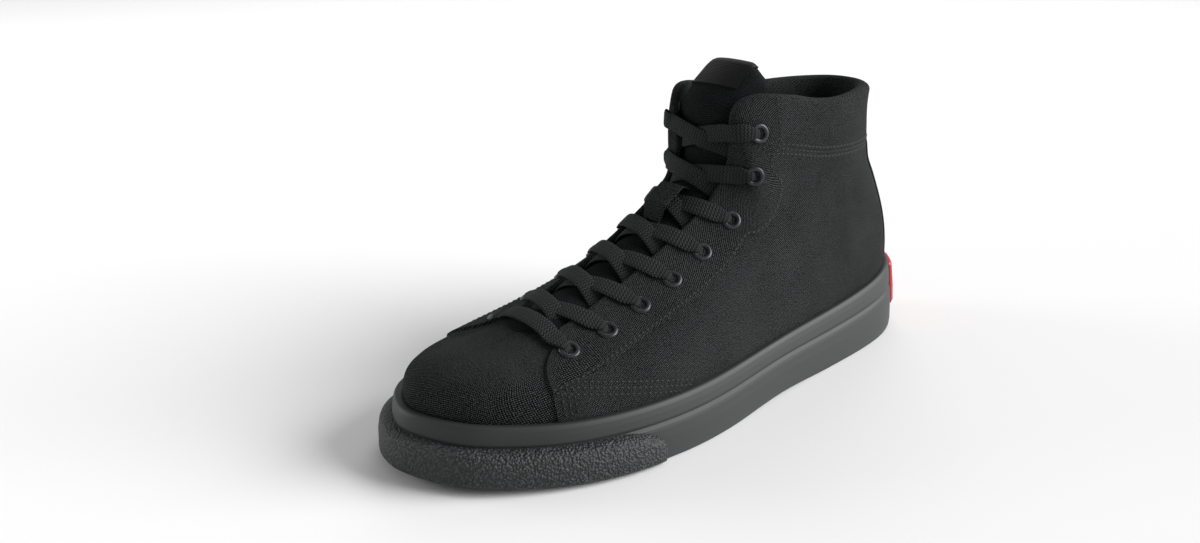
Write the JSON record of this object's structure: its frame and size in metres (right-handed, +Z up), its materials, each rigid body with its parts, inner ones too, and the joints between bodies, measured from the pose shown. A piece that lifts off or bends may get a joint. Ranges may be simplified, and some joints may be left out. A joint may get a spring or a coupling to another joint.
{
  "type": "high top sneaker",
  "caption": "High top canvas sneaker for the left foot, laced flat through round eyelets, with a padded collar, rubber side band, toe bumper and heel patch.",
  "frame": {"origin": "on the floor, under the middle of the shoe's bounding box", "axes": "+Z up, the toe points toward -Y, and +X is the outer (lateral) side of this left shoe"},
  "size_m": [0.1148, 0.3062, 0.1531],
  "materials": {
    "canvas": "matt canvas twill",
    "lining": "matt knit lining",
    "tape": "woven tape",
    "label": "woven satin label, plain",
    "lace": "flat woven cotton",
    "foxing": "smooth satin rubber",
    "outsole": "matt rubber",
    "bumper": "pebbled matt rubber",
    "patch": "smooth satin rubber, plain",
    "eyelet": "black enamel"
  },
  "bodies": {
    "root": {"outsole": "outsole", "foxing": "foxing", "toe_bumper": "bumper", "heel_patch": "patch", "insole": "lining", "upper": "canvas", "heel_tape": "tape", "tongue": "canvas", "tongue_label": "label", "lace_keeper": "label", "eyelet_lateral_1": "eyelet", "eyelet_lateral_2": "eyelet", "eyelet_lateral_3": "eyelet", "eyelet_lateral_4": "eyelet", "eyelet_lateral_5": "eyelet", "eyelet_lateral_6": "eyelet", "eyelet_lateral_7": "eyelet", "eyelet_lateral_8": "eyelet", "eyelet_medial_1": "eyelet", "eyelet_medial_2": "eyelet", "eyelet_medial_3": "eyelet", "eyelet_medial_4": "eyelet", "eyelet_medial_5": "eyelet", "eyelet_medial_6": "eyelet", "eyelet_medial_7": "eyelet", "eyelet_medial_8": "eyelet", "lace_bar": "lace", "lace_cross_1": "lace", "lace_cross_2": "lace", "lace_cross_3": "lace", "lace_cross_4": "lace", "lace_cross_5": "lace", "lace_cross_6": "lace", "lace_cross_7": "lace"}
  },
  "joints": []
}
